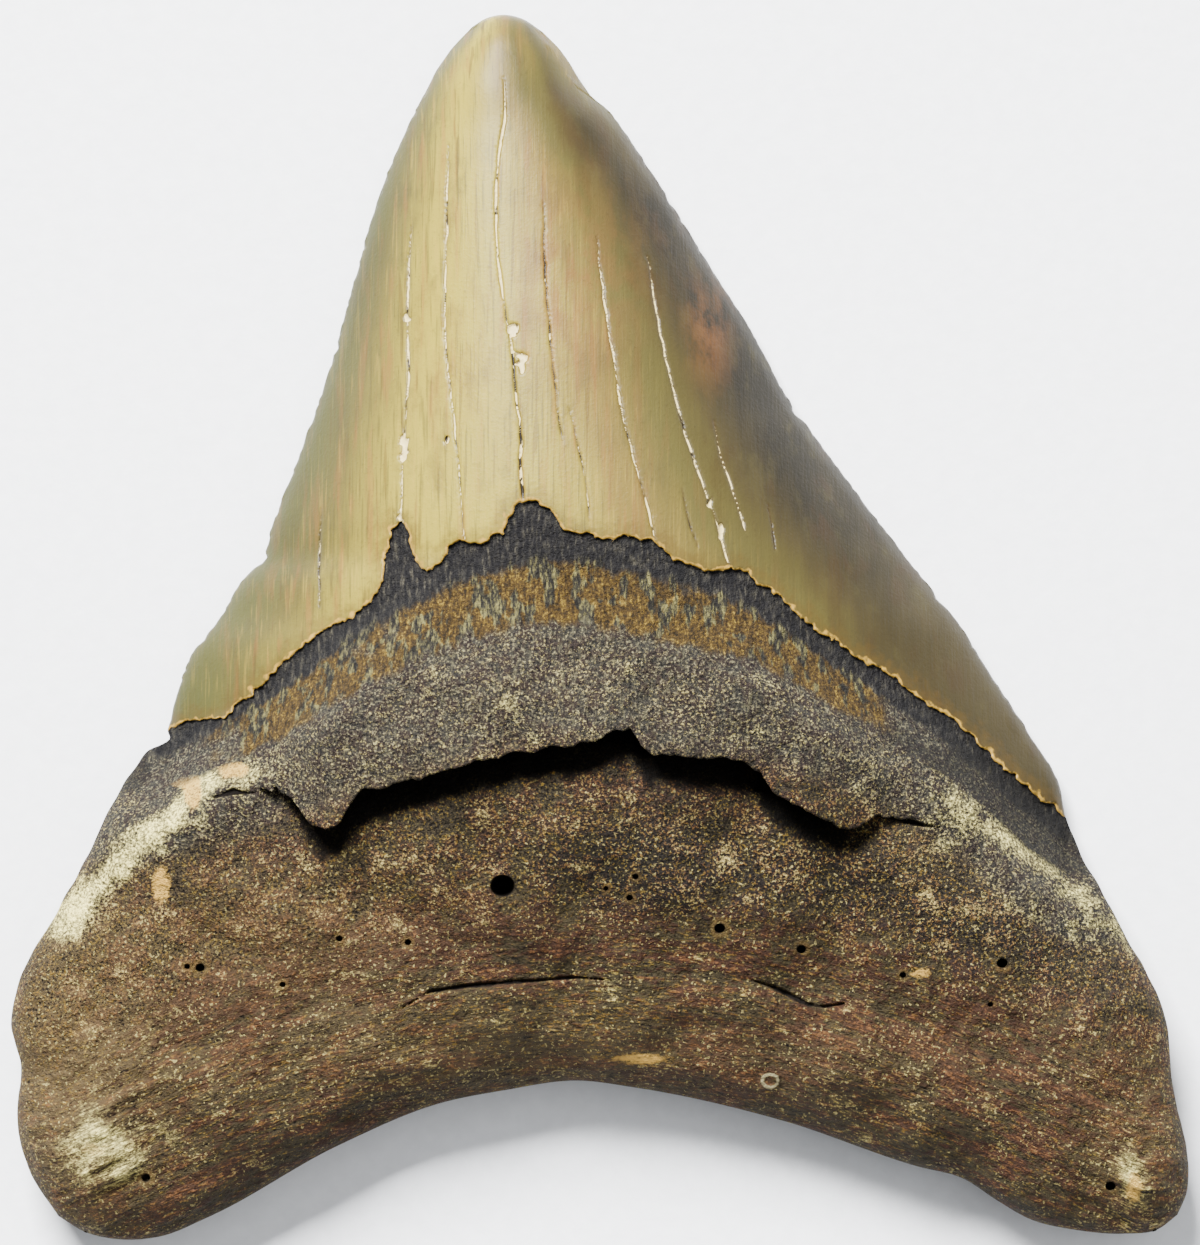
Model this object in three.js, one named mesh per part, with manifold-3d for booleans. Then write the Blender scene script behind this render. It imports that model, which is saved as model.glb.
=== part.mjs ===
// A fossil megalodon tooth, 100 mm across, lying on its flat lip-side face with the tongue side up.
// It grew as one piece, so it is one solid: an enamel crown, a dark collar and a two-lobed root.
// Millimetres. +X is to the right, +Y towards the tip, +Z up; the origin is the middle of its footprint.
import * as THREE from 'three';
import { mergeVertices } from 'three/addons/utils/BufferGeometryUtils.js';
import Module from 'manifold-3d';

const wasm = await Module();
wasm.setup();

// Driving sizes
const CROWN_EDGE_Z = 2.0; // height of the cutting edge above the surface it lies on
const ROOT_EDGE_Z = 5.2; // height of the middle of the root's rounded rim
const CUTTING_EDGE = 0.45; // half the thickness of the worn cutting edge
const CROWN_ROUND = 0.8; // rounding of the cutting edge
const ROOT_ROUND_TOP = 7.5; // rounding of the root's rim, upper side
const ROOT_ROUND_UNDER = 5.5; // rounding of the root's rim, under side
const ROOT_TOP = 10.8; // height of the root's lobes
const BOSS_RISE = 7.6; // the boss in the middle of the root stands this much higher
const BOSS = { x: -2, y: -11, wide: 27, tall: 17 };
const CRUST = 2.6; // the collar stands this much over the root at the broken ledge
const TRENCH = 1.1; // depth of the hollow in front of it
const COLLAR = 9; // length over which the crown's form turns into the root's
const ENAMEL = 0.45; // the enamel ends in a step of this height
const CREVICE_DEPTH = 4.6; // how far the crevice runs back under the ledge
const LIP_THICK = 1.1; // thickness of the ledge's lip
const FAR_SIZE = { front: 3.8, back: 7 }; // longest edge of a facet away from the details
const NEAR_SIZE = 1.25; // and next to them
const GRID = 0.004; // points lie on a grid this fine

// The outline, seen from above: sides from the base upwards, base and tip from left to right
const LEFT_ROOT = [[-46, -50.1], [-47.9, -47.3], [-49.2, -44.2], [-49.5, -41.5], [-49.2, -38], [-50, -33],
  [-49.3, -30], [-46.3, -24.5], [-43.5, -19.4]];
const LEFT_COLLAR = [[-43.5, -19.4], [-42.4, -16.9], [-40, -12.6], [-38.5, -10.6], [-37.4, -10],
  [-36.8, -8.9]];
const LEFT_CROWN = [[-36.8, -8.9], [-35.9, -5.3], [-34.2, -1.5], [-32.5, 0.5], [-30.3, 4.1], [-28.8, 5.7],
  [-28, 8.2], [-25.5, 14.8], [-23.3, 21], [-20.8, 29.8], [-18.8, 36.6], [-15.9, 43.5], [-12.6, 49.2],
  [-10.9, 51]];
const RIGHT_ROOT = [[49, -50], [49.8, -48.2], [50, -46.2], [49.6, -43.3], [48.6, -38.5], [48.2, -34.2],
  [47.6, -31.9], [44.6, -26.2], [42.6, -22.3]];
const RIGHT_COLLAR = [[42.6, -22.3], [41.2, -20], [40.4, -18], [39.6, -16.2]];
const RIGHT_CROWN = [[39.6, -16.2], [39.2, -13.8], [36.4, -8.9], [32.6, -3.1], [31, -0.5], [26.4, 5.4],
  [22.2, 10.9], [17.9, 16.7], [16.5, 18.6], [12.8, 25.2], [8.2, 32.5], [4.2, 38.9], [0.4, 44.2], [-0.7, 45.2],
  [-3.6, 49.3], [-4.9, 50.6]];
const BASE = [[-46, -50.1], [-43.6, -51.5], [-40.5, -52.1], [-37.2, -51.8], [-33.5, -50.3], [-22, -44],
  [-13.5, -40.5], [-8, -39.4], [-2, -38.6], [3, -39.2], [15.5, -42], [27, -45.9], [30.8, -46.9],
  [33.6, -48.7], [36.6, -50.4], [40.5, -51.3], [44.5, -51.6], [47.2, -51.3], [49, -50]];
const TIP = [[-10.9, 51], [-9.8, 51.7], [-8.3, 52.05], [-6.7, 51.75], [-4.9, 50.6]];

// Where the enamel ends, on the tongue side with its notches and on the lip side
const ENAMEL_END = [[-36.8, -8.9], [-34.6, -7.9], [-31.8, -7.8], [-29, -5.2], [-25, -1.5], [-21, 0.9],
  [-19.2, 2.1], [-17.9, 4.2], [-17.3, 8], [-16.6, 8.8], [-15.9, 6.3], [-14.6, 4.3], [-12.6, 6.6],
  [-11.8, 7.2], [-10.3, 6.8], [-8.2, 7.8], [-7, 10], [-6, 10.6], [-4.4, 9.8], [-3.2, 8.1], [0.5, 7.4],
  [4.4, 7.4], [6.2, 5.8], [8.8, 4.6], [11.6, 4.9], [14.5, 2.8], [19, -0.9], [25, -4.5], [31, -8.9],
  [36.6, -14.1], [39.6, -16.2]];
const ENAMEL_ROW = [[-36.8, -8.9], [-29, -5.2], [-20, 1.7], [-12, 6], [-5, 7.8], [4, 6.6], [12, 3.8],
  [20, -1.8], [30, -8.4], [36.6, -14.1], [39.6, -16.2]];
const ENAMEL_BACK = [[-36.8, -8.9], [-28, -8.6], [-16, -5.4], [-4, -3.4], [10, -5.4], [24, -10.4],
  [34, -14.8], [39.6, -16.2]];

// The broken lip of the ledge, with its two tabs, and the line that carries it on to the sides
const LIP = [[-30, -13.9], [-27, -14.1], [-26, -14.7], [-24.2, -16.8], [-23, -17.1], [-21.8, -16.4],
  [-21, -15], [-20, -14.1], [-15, -12.9], [-12, -12], [-9, -11.1], [-3, -10.2], [0, -9.5], [1.2, -9],
  [2.6, -8.9], [3.4, -10.2], [4.4, -11], [10, -11.1], [12, -11.7], [13.5, -12.8], [14.5, -14.4],
  [18, -16], [20, -16.9], [21, -17.1], [22.3, -16.6], [23.5, -16.1], [28, -17]];
const LIP_ROW = [[-43.5, -19.4], [-30, -14.6], [-16, -12.8], [-2, -10.4], [12, -12.2], [28, -17],
  [42.6, -22.3]];
const LEDGE = { from: -30, full: -22, fade: 15, to: 28 }; // x where the ledge starts, is full, fades and ends

// How far the middle of the crown stands over its edges, from tip to root
const CROWN_RISE = [[-20, 14], [0, 13.6], [8, 13], [20, 10.8], [32, 8], [42, 5.4], [48, 3.6], [51, 2],
  [52.1, 0.8]];

// Cracks that run down the enamel: points from above, with the widest opening
const CRACKS = [
  { wide: 0.5, line: [[-8.1, 45.4], [-8.5, 40.5], [-8.7, 34], [-8.3, 29], [-7.6, 23], [-7, 18], [-6.8, 12]] },
  { wide: 0.34, line: [[-13, 35.5], [-12.9, 31], [-13.1, 26], [-12.5, 18], [-11.9, 13], [-11.6, 9]] },
  { wide: 0.42, line: [[-16.3, 26.6], [-16.2, 20], [-16.6, 15.5], [-16.7, 10.2]] },
  { wide: 0.3, line: [[-5, 35], [-4.7, 29], [-4.2, 23], [-3.6, 17.8]] },
  { wide: 0.42, line: [[-0.2, 31], [0.5, 26.5], [1.3, 21.5], [2.3, 16], [3.5, 11.6], [4.4, 8.6]] },
  { wide: 0.46, line: [[4.1, 30.8], [5, 25.5], [6.1, 20], [7.5, 15], [9, 10.5], [10.3, 6.4]] },
];
const CRACK_DEPTH = 0.5;

// Pores of the root: place and radius
const PORES = [[-8.2, -21.9, 0.95], [10.1, -25.5, 0.45], [17, -27.3, 0.42], [34, -28.5, 0.46],
  [25.6, -29.5, 0.3], [-33.7, -28.8, 0.42], [43.1, -47.3, 0.42], [-38.6, -46.6, 0.5], [2.5, -22.9, 0.3]];
const PORE_DEPTH = 2.6;

const clamp01 = (t) => Math.min(1, Math.max(0, t));
const mix = (a, b, t) => a + (b - a) * t;
const smooth = (a, b, x) => {
  const t = clamp01((x - a) / (b - a));
  return t * t * (3 - 2 * t);
};
const bell = (x, y, spot) => Math.exp(-(((x - spot.x) / spot.wide) ** 2) - ((y - spot.y) / spot.tall) ** 2);

// A smooth function through [position, value] pairs
function through(pairs) {
  const rise = (i) => (pairs[i + 1][1] - pairs[i][1]) / (pairs[i + 1][0] - pairs[i][0]);
  const last = pairs.length - 1;
  const slope = pairs.map((p, i) => {
    if (i === 0) return rise(0);
    if (i === last) return rise(last - 1);
    const before = p[0] - pairs[i - 1][0];
    const after = pairs[i + 1][0] - p[0];
    return (rise(i - 1) * after + rise(i) * before) / (before + after);
  });
  return (s) => {
    if (s <= pairs[0][0]) return pairs[0][1];
    if (s >= pairs[last][0]) return pairs[last][1];
    let i = 0;
    while (pairs[i + 1][0] < s) i += 1;
    const h = pairs[i + 1][0] - pairs[i][0];
    const t = (s - pairs[i][0]) / h;
    return pairs[i][1] * (1 + 2 * t) * (1 - t) ** 2 + slope[i] * h * t * (1 - t) ** 2
      + pairs[i + 1][1] * t * t * (3 - 2 * t) + slope[i + 1] * h * t * t * (t - 1);
  };
}

// A straight-edged function through [position, value] pairs
function joined(pairs) {
  const last = pairs.length - 1;
  return (s) => {
    if (s <= pairs[0][0]) return pairs[0][1];
    if (s >= pairs[last][0]) return pairs[last][1];
    let i = 0;
    while (pairs[i + 1][0] < s) i += 1;
    return mix(pairs[i][1], pairs[i + 1][1], (s - pairs[i][0]) / (pairs[i + 1][0] - pairs[i][0]));
  };
}

// A smooth curve through points in the plane, as a function of t from 0 to 1
function curve(points) {
  const along = [0];
  points.slice(1).forEach(([x1, y1], i) => {
    const [x0, y0] = points[i];
    along.push(along[i] + Math.hypot(x1 - x0, y1 - y0));
  });
  const total = along[along.length - 1];
  const x = through(points.map((p, i) => [along[i] / total, p[0]]));
  const y = through(points.map((p, i) => [along[i] / total, p[1]]));
  return (t) => [x(t), y(t)];
}

// The form of the tooth, as two heights over each point of the plane
const enamelEnd = joined(ENAMEL_END);
const enamelRow = through(ENAMEL_ROW);
const enamelBack = through(ENAMEL_BACK);
const lip = joined(LIP);
const crownRise = through(CROWN_RISE);
const crownLeft = through(LEFT_CROWN.map(([x, y]) => [y, x]));
const crownRight = through(RIGHT_CROWN.map(([x, y]) => [y, x]));

const OUTLINE_STEPS = 48; // straight stretches of each part of the outline
const SIDES = [LEFT_ROOT, LEFT_COLLAR, LEFT_CROWN, TIP, RIGHT_ROOT, RIGHT_COLLAR, RIGHT_CROWN, BASE];
const outline = SIDES.map((points) => {
  const at = curve(points);
  return Array.from({ length: OUTLINE_STEPS + 1 }, (_, i) => at(i / OUTLINE_STEPS));
});

function distanceToOutline(x, y) {
  let least = Infinity;
  for (const stretch of outline) {
    for (let i = 1; i < stretch.length; i += 1) {
      const [ax, ay] = stretch[i - 1];
      const [bx, by] = stretch[i];
      const t = clamp01(((x - ax) * (bx - ax) + (y - ay) * (by - ay)) / ((bx - ax) ** 2 + (by - ay) ** 2));
      least = Math.min(least, Math.hypot(x - mix(ax, bx, t), y - mix(ay, by, t)));
    }
  }
  return least;
}

// A quarter circle: 0 at the rim, 1 from the radius inwards
const rounded = (d, radius) => Math.sqrt(1 - (1 - clamp01(d / radius)) ** 2);

// How far across the crown a point is: -1 and 1 on the cutting edges
function across(x, y) {
  const left = crownLeft(y);
  const right = crownRight(y);
  return Math.max(-1, Math.min(1, (2 * x - left - right) / (right - left)));
}

const rootShare = (x, y) => smooth(0, -COLLAR, y - enamelRow(x));
const ledgeShare = (x) => smooth(LEDGE.from, LEDGE.full, x) * smooth(LEDGE.to, LEDGE.fade, x);
const lumps = (x, y) => 0.32 * Math.sin(0.33 * x + 0.8) * Math.sin(0.29 * y - 0.5)
  + 0.2 * Math.sin(0.62 * x - 0.21 * y) + 0.16 * Math.sin(0.7 * y + 0.3 * x + 1.9);

function edgeHeight(x, y) {
  return mix(CROWN_EDGE_Z, ROOT_EDGE_Z, rootShare(x, y));
}

// Growth layers of the root: a low step along a line level with the base
const LAYER = [[-46, -42], [-30, -35.2], [-17, -31.6], [-3, -29.8], [12, -30.6], [20, -32.3], [34, -37],
  [46, -42]];
const LAYER_STEP = 0.35;
const layer = through(LAYER);

function topHeight(x, y) {
  const d = distanceToOutline(x, y);
  const w = Math.abs(across(x, y));
  const crown = CUTTING_EDGE + crownRise(y) * (1 - w ** 2.3);
  const root = ROOT_TOP + BOSS_RISE * bell(x, y, BOSS) - ROOT_EDGE_Z + lumps(x, y)
    + LAYER_STEP * (smooth(0.4, -0.4, y - layer(x)) - smooth(-1, -9, y - layer(x)));
  const share = rootShare(x, y);
  const toLip = y - lip(x);
  const crust = CRUST * smooth(-0.35, 0.35, toLip) * share;
  const trench = TRENCH * smooth(-3.6, -1.4, toLip) * smooth(0.35, -0.35, toLip);
  const step = ENAMEL * (smooth(-0.3, 0.3, y - enamelEnd(x)) - 1) * rounded(d, 2 * CROWN_ROUND);
  const body = mix(crown * rounded(d, CROWN_ROUND), root * rounded(d, ROOT_ROUND_TOP), share);
  return edgeHeight(x, y) + body + (crust - trench) * ledgeShare(x) + step;
}

// The under side: bulges of the crown and of the two lobes are worn flat where they touch the surface
const HOLLOW = 1.0; // the rest of the under side keeps this far off the surface
const BACK_STEP = 0.3; // step at the end of the enamel on the under side
const CONTACTS = [
  { x: -4, y: 14, wide: 15, tall: 21, deep: 1.9 },
  { x: -37, y: -38, wide: 12, tall: 11, deep: 2 },
  { x: 37, y: -39, wide: 12, tall: 11, deep: 2 },
];

function underHeight(x, y) {
  const d = distanceToOutline(x, y);
  const w = Math.abs(across(x, y));
  const edge = edgeHeight(x, y);
  const share = rootShare(x, y);
  const bulges = CONTACTS.reduce((sum, c) => sum + c.deep * bell(x, y, c), 0);
  const floor = HOLLOW - bulges + 0.3 * lumps(x, y);
  const crown = mix(floor, edge - CUTTING_EDGE, w ** 3);
  const step = BACK_STEP * smooth(0.3, -0.3, y - enamelBack(x));
  const inwards = rounded(d, mix(CROWN_ROUND, ROOT_ROUND_UNDER, share));
  return mix(edge, Math.max(0, mix(crown, floor, share) + step), inwards);
}

// A patch between four edge curves
function patch(bottom, top, left, right) {
  return (u, v) => [0, 1].map((k) => mix(bottom(u)[k], top(u)[k], v) + mix(left(v)[k], right(v)[k], u)
    - mix(mix(bottom(0)[k], bottom(1)[k], u), mix(top(0)[k], top(1)[k], u), v));
}

// Rows of the tooth, from base to tip: v runs from 0 to 3 through root, collar and crown
const BANDS = [
  patch(curve(BASE), curve(LIP_ROW), curve(LEFT_ROOT), curve(RIGHT_ROOT)),
  patch(curve(LIP_ROW), curve(ENAMEL_ROW), curve(LEFT_COLLAR), curve(RIGHT_COLLAR)),
  patch(curve(ENAMEL_ROW), curve(TIP), curve(LEFT_CROWN), curve(RIGHT_CROWN)),
];
const COLUMNS = 20;
const ROWS = [8, 4, 14];

function pointOf({ u, v, side }) {
  const band = Math.min(BANDS.length - 1, Math.floor(v));
  const [x, y] = BANDS[band](u, v - band);
  if (side === 'rim') return new THREE.Vector3(x, y, edgeHeight(x, y));
  return new THREE.Vector3(x, y, side === 'front' ? topHeight(x, y) : underHeight(x, y));
}

// Two sheets of squares, cut into triangles and joined along the rim
function sheets() {
  const vs = ROWS.flatMap((n, band) => Array.from({ length: n }, (_, i) => band + i / n)).concat(ROWS.length);
  const last = vs.length - 1;
  const nodes = [];
  const triangles = [];
  const rim = new Map();
  for (const side of ['front', 'back']) {
    const index = vs.map((v, j) => Array.from({ length: COLUMNS + 1 }, (_, i) => {
      const onRim = i === 0 || i === COLUMNS || j === 0 || j === last;
      const key = `${i},${j}`;
      if (onRim && rim.has(key)) return rim.get(key);
      nodes.push({ u: i / COLUMNS, v, side: onRim ? 'rim' : side });
      if (onRim) rim.set(key, nodes.length - 1);
      return nodes.length - 1;
    }));
    for (let j = 0; j < last; j += 1) {
      for (let i = 0; i < COLUMNS; i += 1) {
        const corners = [index[j][i], index[j][i + 1], index[j + 1][i + 1], index[j + 1][i]];
        const turned = (i < COLUMNS / 2) !== (j < last / 2); // no diagonal joins two rim points
        const [a, b, c, d] = turned ? [...corners.slice(1), corners[0]] : corners;
        for (const face of [[a, b, c], [a, c, d]]) {
          triangles.push({ face: side === 'front' ? face : face.reverse(), side });
        }
      }
    }
  }
  return { nodes, triangles };
}

// Halves the long edges until each is as short as its place asks, always with the longest edge of a facet
function refine({ nodes, triangles }, wanted) {
  const points = nodes.map(pointOf);
  for (;;) {
    const split = new Map();
    const key = (a, b) => (a < b ? `${a},${b}` : `${b},${a}`);
    const length = (a, b) => points[a].distanceTo(points[b]);
    const edges = ([a, b, c]) => [[a, b], [b, c], [c, a]];
    for (const { face, side } of triangles) {
      for (const [a, b] of edges(face)) {
        const middle = points[a].clone().lerp(points[b], 0.5);
        if (length(a, b) > wanted(middle, side)) split.set(key(a, b), null);
      }
    }
    if (!split.size) return { points, triangles };
    for (let grew = true; grew;) {
      grew = false;
      for (const { face } of triangles) {
        const all = edges(face);
        if (!all.some(([a, b]) => split.has(key(a, b)))) continue;
        const [a, b] = all.reduce((most, e) => (length(...e) > length(...most) ? e : most));
        if (split.has(key(a, b))) continue;
        split.set(key(a, b), null);
        grew = true;
      }
    }
    const middleOf = (a, b, side) => {
      const k = key(a, b);
      if (!split.has(k)) return null;
      if (split.get(k) === null) {
        const onRim = nodes[a].side === 'rim' && nodes[b].side === 'rim';
        const [u, v] = ['u', 'v'].map((k) => (nodes[a][k] + nodes[b][k]) / 2);
        nodes.push({ u, v, side: onRim ? 'rim' : side });
        points.push(pointOf(nodes[nodes.length - 1]));
        split.set(k, nodes.length - 1);
      }
      return split.get(k);
    };
    triangles = triangles.flatMap(({ face, side }) => {
      const all = edges(face);
      const longest = all.reduce((most, e, i) => (length(...e) > length(...all[most]) ? i : most), 0);
      const [a, b, c] = [0, 1, 2].map((i) => face[(longest + i) % 3]);
      const m = middleOf(a, b, side);
      if (m === null) return [{ face, side }];
      const p = middleOf(b, c, side);
      const q = middleOf(c, a, side);
      const right = p === null ? [[m, b, c]] : [[m, b, p], [m, p, c]];
      const left = q === null ? [[a, m, c]] : [[a, m, q], [q, m, c]];
      return [...right, ...left].map((f) => ({ face: f, side }));
    });
  }
}

// Facets get smaller near the end of the enamel and the lip of the ledge
function wantedSize(p, side) {
  const toEnamel = side === 'front' ? Math.abs(p.y - enamelEnd(p.x)) : Infinity;
  const onLedge = side === 'front' && p.x > LEDGE.from && p.x < LEDGE.to;
  const toLip = onLedge ? Math.abs(p.y - lip(p.x)) : Infinity;
  const near = NEAR_SIZE + 1.3 * Math.max(0, Math.min(toEnamel, toLip) - 0.4);
  return Math.min(FAR_SIZE[side], near);
}

function solidFrom(vertProperties, triVerts) {
  return new wasm.Manifold(new wasm.Mesh({ numProp: 3, vertProperties, triVerts }));
}

function solidOfGeometry(geometry) {
  geometry.deleteAttribute('normal');
  geometry.deleteAttribute('uv');
  const merged = mergeVertices(geometry, 1e-4);
  return solidFrom(new Float32Array(merged.attributes.position.array), new Uint32Array(merged.index.array));
}

// A closed solid through rings of points
function loft(rings) {
  const size = rings[0].length;
  const triVerts = [];
  rings.slice(1).forEach((_, r) => {
    for (let i = 0; i < size; i += 1) {
      const a = r * size + i;
      const b = r * size + ((i + 1) % size);
      triVerts.push(a, b, b + size, a, b + size, a + size);
    }
  });
  const end = (rings.length - 1) * size;
  for (let i = 1; i < size - 1; i += 1) triVerts.push(0, i + 1, i, end, end + i, end + i + 1);
  return solidFrom(new Float32Array(rings.flat(2)), new Uint32Array(triVerts));
}

// The crevice under the broken lip: a wedge that runs back into the collar and thins out at both ends
function crevice() {
  const STATIONS = 22;
  const rings = Array.from({ length: STATIONS + 1 }, (_, i) => {
    const x = mix(LEDGE.from + 0.6, LEDGE.to - 1.5, i / STATIONS);
    const open = 0.25 + 0.75 * ledgeShare(x);
    const y = lip(x);
    const roof = topHeight(x, y + 0.8) - LIP_THICK * open;
    const floor = topHeight(x, y - 1.6) - 0.1;
    const low = Math.min(floor, roof - 0.5 * open);
    const deep = CREVICE_DEPTH * open * (0.85 + 0.15 * Math.sin(1.1 * x));
    const mouth = y - 1.5 * open;
    const middle = y + 0.5 * deep;
    return [[x, mouth, low + 0.15], [x, mouth, roof], [x, middle, mix(roof, low, 0.12)],
      [x, y + deep, mix(roof, low, 0.45)], [x, y + deep, mix(roof, low, 0.65)], [x, middle, low - 0.25]];
  });
  return loft(rings.map((ring) => ring.reverse()));
}

// A crack: a narrow V that opens in its middle and closes at both ends
function crack({ wide, line }) {
  const STATIONS = 10;
  const at = curve(line);
  const rings = Array.from({ length: STATIONS + 1 }, (_, i) => {
    const [x, y] = at(i / STATIONS);
    const half = (wide / 2) * (0.25 + 0.75 * Math.sin((Math.PI * i) / STATIONS));
    const z = topHeight(x, y);
    return [[x + 2 * half, y, z + CRACK_DEPTH], [x - 2 * half, y, z + CRACK_DEPTH], [x, y, z - CRACK_DEPTH]];
  });
  return loft(rings);
}

function pore([x, y, radius]) {
  const sides = radius > 0.6 ? 12 : 7;
  const cone = new THREE.CylinderGeometry(radius * 1.25, radius * 0.6, 2 * PORE_DEPTH, sides);
  return solidOfGeometry(cone.rotateX(Math.PI / 2).translate(x, y, topHeight(x, y)));
}

// The cut mesh with its points on a fine grid: points that meet there become one, and facets that
// vanish or fold onto each other by it are left out
function tidied({ vertProperties, triVerts }) {
  const at = new Map();
  const position = [];
  const number = Array.from({ length: vertProperties.length / 3 }, (_, i) => {
    const p = [0, 1, 2].map((k) => Math.round(vertProperties[3 * i + k] / GRID) * GRID);
    const key = p.map((value) => value.toFixed(3)).join();
    if (!at.has(key)) {
      at.set(key, position.length / 3);
      position.push(...p);
    }
    return at.get(key);
  });
  const facets = new Map();
  for (let i = 0; i < triVerts.length; i += 3) {
    const facet = [0, 1, 2].map((k) => number[triVerts[i + k]]);
    const key = [...facet].sort((a, b) => a - b).join();
    if (new Set(facet).size < 3) continue;
    if (facets.has(key)) facets.delete(key);
    else facets.set(key, facet);
  }
  return { position, index: [...facets.values()].flat() };
}

function toothGeometry() {
  const { points, triangles } = refine(sheets(), wantedSize);
  const position = new Float32Array(points.flatMap((p) => p.toArray()));
  const body = solidFrom(position, new Uint32Array(triangles.flatMap((t) => t.face)));
  const cuts = [crevice(), ...CRACKS.map(crack), ...PORES.map(pore)];
  const made = tidied(cuts.reduce((solid, cut) => solid.subtract(cut), body).getMesh());
  return new THREE.BufferGeometry()
    .setAttribute('position', new THREE.BufferAttribute(new Float32Array(made.position), 3))
    .setIndex(new THREE.BufferAttribute(new Uint32Array(made.index), 1));
}

const fossil = new THREE.MeshStandardMaterial({ color: 0x6e5f49, roughness: 0.6, metalness: 0 });
const tooth = new THREE.Mesh(toothGeometry(), fossil);
tooth.name = 'tooth';

const group = new THREE.Group();
group.add(tooth);
export default group;
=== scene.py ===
import bpy
import numpy as np
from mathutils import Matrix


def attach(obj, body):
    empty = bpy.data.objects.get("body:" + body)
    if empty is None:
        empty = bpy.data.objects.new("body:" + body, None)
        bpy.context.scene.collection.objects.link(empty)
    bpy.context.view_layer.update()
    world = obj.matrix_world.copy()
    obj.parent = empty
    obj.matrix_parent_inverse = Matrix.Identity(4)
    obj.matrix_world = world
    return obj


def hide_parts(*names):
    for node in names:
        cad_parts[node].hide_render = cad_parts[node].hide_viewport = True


MM = 0.001

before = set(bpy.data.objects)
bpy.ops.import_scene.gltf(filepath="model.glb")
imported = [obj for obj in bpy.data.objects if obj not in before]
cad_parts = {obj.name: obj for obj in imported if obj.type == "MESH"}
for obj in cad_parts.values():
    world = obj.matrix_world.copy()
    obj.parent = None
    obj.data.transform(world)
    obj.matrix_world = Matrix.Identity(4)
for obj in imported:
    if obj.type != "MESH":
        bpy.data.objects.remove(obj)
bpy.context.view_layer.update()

# Driving sizes: those of the solid, but for a deeper trench and a crevice that is less deep
CROWN_EDGE_Z = 2.0
ROOT_EDGE_Z = 5.2
CUTTING_EDGE = 0.45
CROWN_ROUND = 0.8
ROOT_ROUND_TOP = 7.5
ROOT_ROUND_UNDER = 5.5
ROOT_TOP = 10.8
BOSS_RISE = 7.6
BOSS = (-2, -11, 27, 17)  # x, y, wide, tall
CRUST = 2.6
TRENCH = 2.0
COLLAR = 9
ENAMEL = 0.45
CREVICE_DEPTH = 3.6
HOLLOW = 1.0
BACK_STEP = 0.3
CONTACTS = [((-4, 14, 15, 21), 1.9), ((-37, -38, 12, 11), 2.0), ((37, -39, 12, 11), 2.0)]

# The outline, seen from above: sides from the base upwards, base and tip from left to right
LEFT_ROOT = [(-46, -50.1), (-47.9, -47.3), (-49.2, -44.2), (-49.5, -41.5), (-49.2, -38), (-50, -33),
             (-49.3, -30), (-46.3, -24.5), (-43.5, -19.4)]
LEFT_COLLAR = [(-43.5, -19.4), (-42.4, -16.9), (-40, -12.6), (-38.5, -10.6), (-37.4, -10),
               (-36.8, -8.9)]
LEFT_CROWN = [(-36.8, -8.9), (-35.9, -5.3), (-34.2, -1.5), (-32.5, 0.5), (-30.3, 4.1), (-28.8, 5.7),
              (-28, 8.2), (-25.5, 14.8), (-23.3, 21), (-20.8, 29.8), (-18.8, 36.6), (-15.9, 43.5),
              (-12.6, 49.2), (-10.9, 51)]
RIGHT_ROOT = [(49, -50), (49.8, -48.2), (50, -46.2), (49.6, -43.3), (48.6, -38.5), (48.2, -34.2),
              (47.6, -31.9), (44.6, -26.2), (42.6, -22.3)]
RIGHT_COLLAR = [(42.6, -22.3), (41.2, -20), (40.4, -18), (39.6, -16.2)]
RIGHT_CROWN = [(39.6, -16.2), (39.2, -13.8), (36.4, -8.9), (32.6, -3.1), (31, -0.5), (26.4, 5.4),
               (22.2, 10.9), (17.9, 16.7), (16.5, 18.6), (12.8, 25.2), (8.2, 32.5), (4.2, 38.9),
               (0.4, 44.2), (-0.7, 45.2), (-3.6, 49.3), (-4.9, 50.6)]
BASE = [(-46, -50.1), (-43.6, -51.5), (-40.5, -52.1), (-37.2, -51.8), (-33.5, -50.3), (-22, -44),
        (-13.5, -40.5), (-8, -39.4), (-2, -38.6), (3, -39.2), (15.5, -42), (27, -45.9),
        (30.8, -46.9), (33.6, -48.7), (36.6, -50.4), (40.5, -51.3), (44.5, -51.6), (47.2, -51.3),
        (49, -50)]
TIP = [(-10.9, 51), (-9.8, 51.7), (-8.3, 52.05), (-6.7, 51.75), (-4.9, 50.6)]

# Where the enamel ends, on the upper side with its notches and on the under side
ENAMEL_END = [(-36.8, -8.9), (-34.6, -7.9), (-31.8, -7.8), (-29, -5.2), (-25, -1.5), (-21, 0.9),
              (-19.2, 2.1), (-18.2, 4.1), (-18, 6.8), (-17.6, 8.4), (-16.7, 8.9), (-16, 6.6),
              (-15.2, 5), (-14.6, 4.3), (-13.6, 5.2), (-12.6, 6.6), (-11.8, 7.2), (-10.3, 6.8),
              (-8.2, 7.8), (-7.6, 9.4), (-6.8, 10.4), (-6, 10.6), (-4.5, 10.1), (-3.8, 9),
              (-3.1, 8), (0.5, 7.4), (4.4, 7.4), (6.2, 5.8), (8.8, 4.6), (11.6, 4.9), (14.5, 2.8),
              (19, -0.9), (25, -4.5), (31, -8.9), (36.6, -14.1), (39.6, -16.2)]
ENAMEL_ROW = [(-36.8, -8.9), (-29, -5.2), (-20, 1.7), (-12, 6), (-5, 7.8), (4, 6.6), (12, 3.8),
              (20, -1.8), (30, -8.4), (36.6, -14.1), (39.6, -16.2)]
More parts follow.
